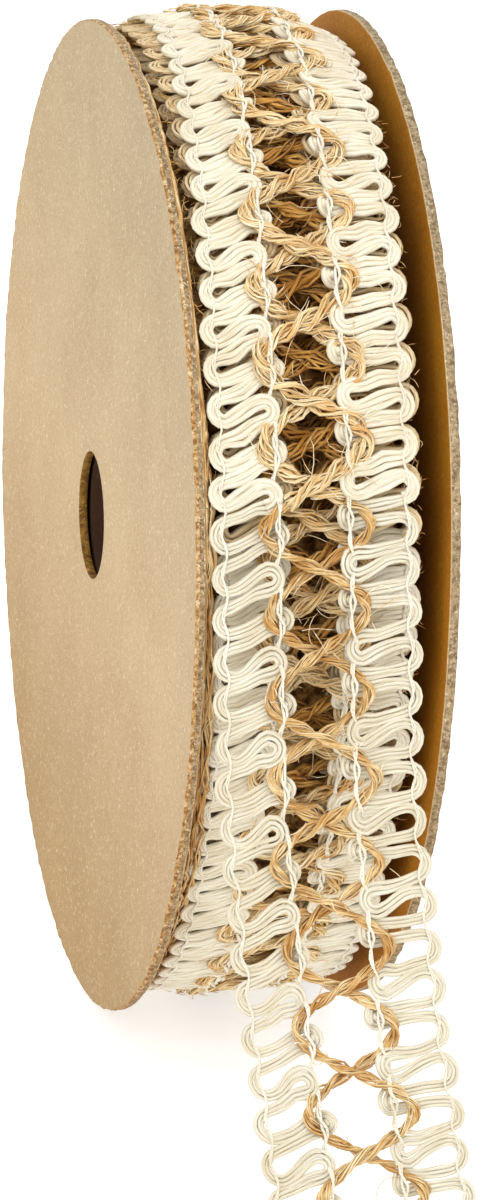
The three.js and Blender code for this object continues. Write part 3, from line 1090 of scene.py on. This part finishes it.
def windOuterTurn():
    end = lapEnds[1] * ribbon["pitch"]
    for side, name in ((-1, "outerBandLeft"), (1, "outerBandRight")):
        yarns = YarnSet(name, bands["thickness"], 1)
        layBundle(yarns, side, int(2 * lapEnds[1]), 0, 2)
        yarns.finish(cotton, stands=roll)
    for kind in cordKinds:
        cords = YarnSet(kind + "Cord", cordShape["strandThickness"], 0)
        layCord(cords, kind, 0.0, end, cordShape["stepMm"], cordShape["strands"], cordShape["wide"], 0)
        cords.finish(jute, stands=roll)
    threads = YarnSet("outerChains", chains["thickness"], 0)
    for side in (-1, 1):
        for inner in (True, False):
            layChain(threads, side, inner, 0.0, end, chains["stepMm"], 0)
    threads.finish(thread, stands=roll)
    strands = YarnSet("outerHairs", hairs["thickness"], None)
    layCordHairs(strands, 0.0, end, 6.0, 5, 0, sunk=4.0)
    strands.finish(juteHair, stands=roll)
    fluff = YarnSet("edgeFluff", edgeStrands["thickness"], None)
    layEdgeStrands(fluff, 0.0, end)
    fluff.finish(tanJute, stands=roll)
    fuzz = YarnSet("edgeFuzz", hairs["edgeThickness"], None)
    for side in (-1, 1):
        layEdgeHairs(fuzz, 0.0, end, side)
    fuzz.finish(shadedGoldenHair, stands=roll)


def windUnderTurn(lap, name, bandSteps):
    # The turns below show through the rings and past the edges, so they are laid with fewer steps
    start, end = lapEnds[lap] * ribbon["pitch"], lapEnds[lap + 1] * ribbon["pitch"]
    if bandSteps:
        yarns = YarnSet(name + "Bands", bands["thickness"], None)
        last, first = int(2 * lapEnds[lap]), int(2 * lapEnds[lap + 1]) - 1
        for side in (-1, 1):
            layBundle(yarns, side, first, last, bandSteps, lift=ribbon["fluff"])
        yarns.finish(dustyShadedCotton, stands=roll)
    cords = YarnSet(name + "Cords", cordShape["strandThickness"] * 1.35, None)
    for kind in cordKinds:
        layCord(cords, kind, start, end, 1.55 * cordShape["stepMm"], 3, cordShape["wide"], 0)
    cords.finish(shadedGoldenJute, stands=roll)
    strands = YarnSet(name + "Hairs", hairs["thickness"] * 1.2, None)
    layCordHairs(strands, start, end, 1.8, 15 + lap, 0, sunk=2.0)
    strands.finish(shadedGoldenHair, stands=roll)


def layLooseEnd():
    end = -ribbon["length"]
    yarns = YarnSet("looseBands", looseBands["thickness"], 1)
    for side in (-1, 1):
        layBundle(yarns, side, 0, -28, 2, looseBands)
    piece = yarns.finish(looseCottonShaded, stands=tail)
    cords = YarnSet("looseCords", cordShape["strandThickness"] * 0.85, 0)
    for kind in cordKinds:
        layCord(cords, kind, end, 0.0, cordShape["stepMm"], cordShape["strands"], cordShape["looseWide"], 0.3, 0.9)
    cordPiece = cords.finish(tanJute, stands=tail)
    threads = YarnSet("looseChains", chains["thickness"], 0)
    for side in (-1, 1):
        for inner in (True, False):
            layChain(threads, side, inner, end, 0.0, chains["stepMm"], 0.2)
    threadPiece = threads.finish(thread, stands=tail)
    strands = YarnSet("looseHairs", hairs["thickness"], None)
    layCordHairs(strands, end + 3, 0.0, 1.0, 45, 0.05, longest=hairs["looseLongest"])
    hairPiece = strands.finish(juteHair, stands=tail)


windOuterTurn()
windUnderTurn(1, "second", 2)
windUnderTurn(2, "third", 1)
windUnderTurn(3, "fourth", 0)
layLooseEnd()
print("ribbon laid")


# The deeper turns: one ring with a ridge for each turn down its sides

deep = {
    "halfWidth": 12.1,
    "middle": -1.0,
    "outer": 54.9,
    "channelHalf": 4.6,
    "channelDepth": 0.5,
    "inner": 10.6,
    "ridge": 0.9,
    "lump": 0.8,
    "steps": 140,
    "perLayer": 3,
}


def spinRing(name, profile, steps):
    # profile: places of (across, out from the axis), in order round the section
    shape = bmesh.new()
    corners = [shape.verts.new((across, 0, distance)) for across, distance in profile]
    edges = [shape.edges.new((corners[k - 1], corners[k])) for k in range(len(corners))]
    bmesh.ops.spin(
        shape, geom=corners + edges, cent=(0, 0, 0), axis=(1, 0, 0), dvec=(0, 0, 0),
        angle=tau, steps=steps, use_merge=True,
    )
    bmesh.ops.remove_doubles(shape, verts=shape.verts, dist=0.001)
    bmesh.ops.recalc_face_normals(shape, faces=shape.faces)
    return shape


def finishSpun(shape, name, materials, stands):
    for vert in shape.verts:
        vert.co = (vert.co + spoolMiddle) * mm
        vert.co.z = max(vert.co.z, 0)
    mesh = bpy.data.meshes.new(name)
    shape.to_mesh(mesh)
    shape.free()
    for material in materials:
        mesh.materials.append(material)
    mesh.shade_smooth()
    piece = bpy.data.objects.new(name, mesh)
    scene.collection.objects.link(piece)
    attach(piece, "root")
    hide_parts(stands)
    print(name, len(mesh.polygons), "faces")
    return piece


def windDeepTurns():
    layers = int((deep["outer"] - deep["inner"]) / ribbon["layer"])
    count = layers * deep["perLayer"]
    edge = []
    for k in range(count + 1):
        ridge = deep["ridge"] * sqrt(abs(sin(pi * k / deep["perLayer"])))
        distance = deep["outer"] - (deep["outer"] - deep["inner"]) * k / count
        edge.append((deep["halfWidth"] - deep["ridge"] + ridge, distance))
    profile = [(deep["middle"] + across, distance) for across, distance in edge]
    profile += [(deep["middle"] - across, distance) for across, distance in reversed(edge)]
    half, floorAt = deep["channelHalf"], deep["outer"] - deep["channelDepth"]
    channel = [(-half - 0.6, deep["outer"]), (-half, floorAt), (0, floorAt - 0.3), (half, floorAt), (half + 0.6, deep["outer"])]
    profile += [(deep["middle"] + across, distance) for across, distance in channel]
    shape = spinRing("deepTurns", profile, deep["steps"])
    for vert in shape.verts:
        distance = hypot(vert.co.y, vert.co.z)
        angle = atan2(vert.co.z, vert.co.y)
        layer = round((deep["outer"] - distance) / ribbon["layer"])
        if abs(vert.co.x - deep["middle"]) > deep["halfWidth"] / 2:
            vert.co.x += 0.4 * sin(angle * distance / scallop * 2 + 2.4 * layer) * (1 if vert.co.x > 0 else -1)
    for vert in shape.verts:
        lump = noise.noise(vert.co * 0.7) * deep["lump"] / hypot(vert.co.y, vert.co.z)
        vert.co.y += vert.co.y * lump
        vert.co.z += vert.co.z * lump
    finishSpun(shape, "deepTurns", [deepShadeFelt], roll)


windDeepTurns()
print("deeper turns wound")


# The spool: two boards of lined card, each leaning a little, on a card tube

def boardProfile():
    # Across from the inner face to the outer, and out from the axis
    thick, soft = board["thickness"], board["round"]
    rounding = [soft * max(abs(2 * share - 1) - 0.8, 0) / 0.2 for share in board["rimShares"]]
    rimSide = [(thick * share, boardRadius - off) for share, off in zip(board["rimShares"], rounding)]
    holeSide = [(0, board["hole"] + soft), (thick * 0.1, board["hole"]), (thick * 0.9, board["hole"]), (thick, board["hole"] + soft)]
    steps = 4
    face = [boardRadius - 0.5 - (boardRadius - board["hole"] - 1) * k / steps for k in range(steps + 1)]
    return rimSide + [(thick, d) for d in face] + list(reversed(holeSide)) + [(0, d) for d in reversed(face)]


def boardFinish(face, side):
    # Which of outer liner, inner liner, core, torn edge and cut hole a face is made of
    spot = face.calc_center_median()
    distance = hypot(spot.y, spot.z)
    if board["hole"] + 0.1 < distance < boardRadius - 0.1:
        return 0 if spot.x > board["thickness"] / 2 else 1
    if distance < boardRadius / 2:
        return 4
    if spot.x > board["thickness"] - board["torn"][side]:
        return 3
    if spot.x < board["liner"]:
        return 0
    return 3 if spot.x < board["innerEdge"][side] else 2


def wearRim(place, side):
    # Small chips all round, a torn lip beside the outer face, and a bump
    distance = hypot(place.y, place.z)
    if distance < boardRadius - 0.3:
        return
    inset = 0.16 * max(noise.noise(Vector((place.y * 0.5, place.z * 0.5, 9.0 * side))), 0)
    if place.x > board["thickness"] - board["torn"][side]:
        tear = noise.noise_vector(Vector((place.y * 0.9, place.z * 0.9, 4.0 * place.x)))
        inset += 0.16 * tear.x
        place.x += 0.12 + 0.16 * tear.y
    for angle, rise, half in board["bumps"][side]:
        away = (place - outward(angle, boardRadius)).length
        inset -= rise * exp(-(away / half) ** 2)
    place.y -= place.y / distance * inset
    place.z -= place.z / distance * inset


def cutBoard(side, name, stands):
    shape = spinRing(name, boardProfile(), board["steps"])
    for face in shape.faces:
        face.material_index = boardFinish(face, side)
    perY, perZ = board["lean"][side]
    for vert in shape.verts:
        place = vert.co
        bow = 0.12 * noise.noise(Vector((place.y * 0.03, place.z * 0.03, 5.0 * side)))
        bow *= (hypot(place.y, place.z) / boardRadius) ** 2
        wearRim(place, side)
        place.x = side * (board["gap"] / 2 + place.x) + bow + perY * place.y + perZ * place.z
    if side < 0:
        bmesh.ops.reverse_faces(shape, faces=shape.faces)
    return finishSpun(shape, name, [outerLiner, innerLinerBounce, boardCore, tornEdge, shadedCutHole], stands)


def rollTube():
    half = board["gap"] / 2 - tube["play"]
    profile = [(-half, tube["inner"]), (-half, tube["outer"]), (half, tube["outer"]), (half, tube["inner"])]
    shape = spinRing("coreTube", profile, tube["steps"])
    perY = (board["lean"][-1][0] + board["lean"][1][0]) / 2
    perZ = (board["lean"][-1][1] + board["lean"][1][1]) / 2
    for vert in shape.verts:
        vert.co.x += perY * vert.co.y + perZ * vert.co.z
    return finishSpun(shape, "coreTube", [shadedTubeLining], "core_tube")


cutBoard(-1, "boardLeft", "flange_left")
cutBoard(1, "boardRight", "flange_right")
rollTube()
print("spool built")
